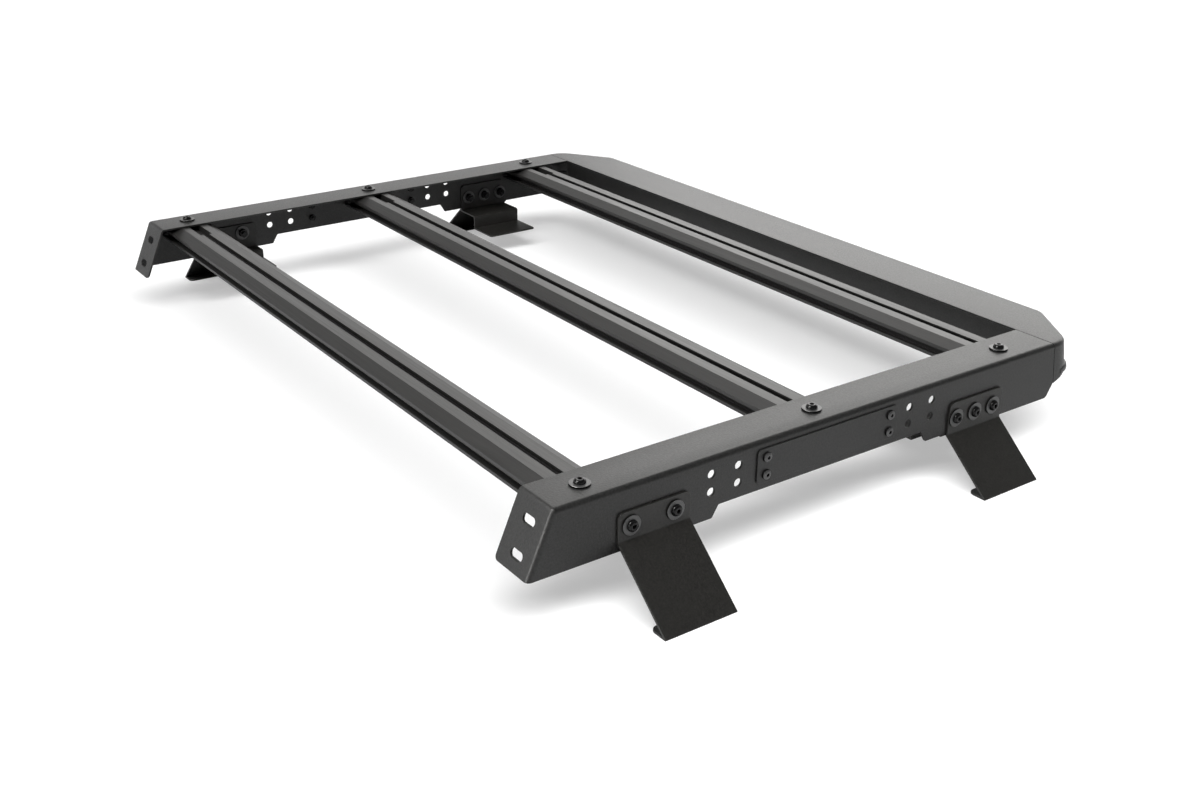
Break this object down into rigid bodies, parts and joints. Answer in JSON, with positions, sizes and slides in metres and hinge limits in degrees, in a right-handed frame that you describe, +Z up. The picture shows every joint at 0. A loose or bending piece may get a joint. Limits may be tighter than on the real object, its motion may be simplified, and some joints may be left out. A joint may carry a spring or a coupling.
{
  "type": "flat platform roof rack",
  "caption": "Flat platform roof rack with folded side rails, slotted crossbars, a chamfered front fairing and bracket feet.",
  "frame": {"origin": "on the ground under the middle of the rack, midway between the sides and between the ends", "axes": "+X to the rack's right side, +Y to its front, where the fairing is, and +Z up"},
  "size_m": [1.3768, 0.927, 0.14],
  "materials": {
    "rail_powder_black": "fine-textured black powder coat",
    "bracket_powder_black": "fine-textured black powder coat",
    "plate_powder_black": "satin black powder coat",
    "bar_anodised_black": "matt black anodised extrusion"
  },
  "bodies": {
    "root": {"rail_right": "rail_powder_black", "rail_left": "rail_powder_black", "crossbar_rear": "bar_anodised_black", "crossbar_middle": "bar_anodised_black", "crossbar_front": "bar_anodised_black", "fairing": "rail_powder_black", "fairing_edge_trim": "rail_powder_black", "fairing_rear_wall": "rail_powder_black", "splice_plate_right": "rail_powder_black", "splice_plate_left": "rail_powder_black", "side_plate_right": "plate_powder_black", "side_plate_left": "plate_powder_black", "foot_rear_right": "bracket_powder_black", "foot_rear_left": "bracket_powder_black", "foot_front_right": "bracket_powder_black", "foot_front_left": "bracket_powder_black", "clamp_rear_right": "bracket_powder_black", "clamp_rear_left": "bracket_powder_black", "clamp_front_right": "bracket_powder_black", "clamp_front_left": "bracket_powder_black"}
  },
  "joints": []
}
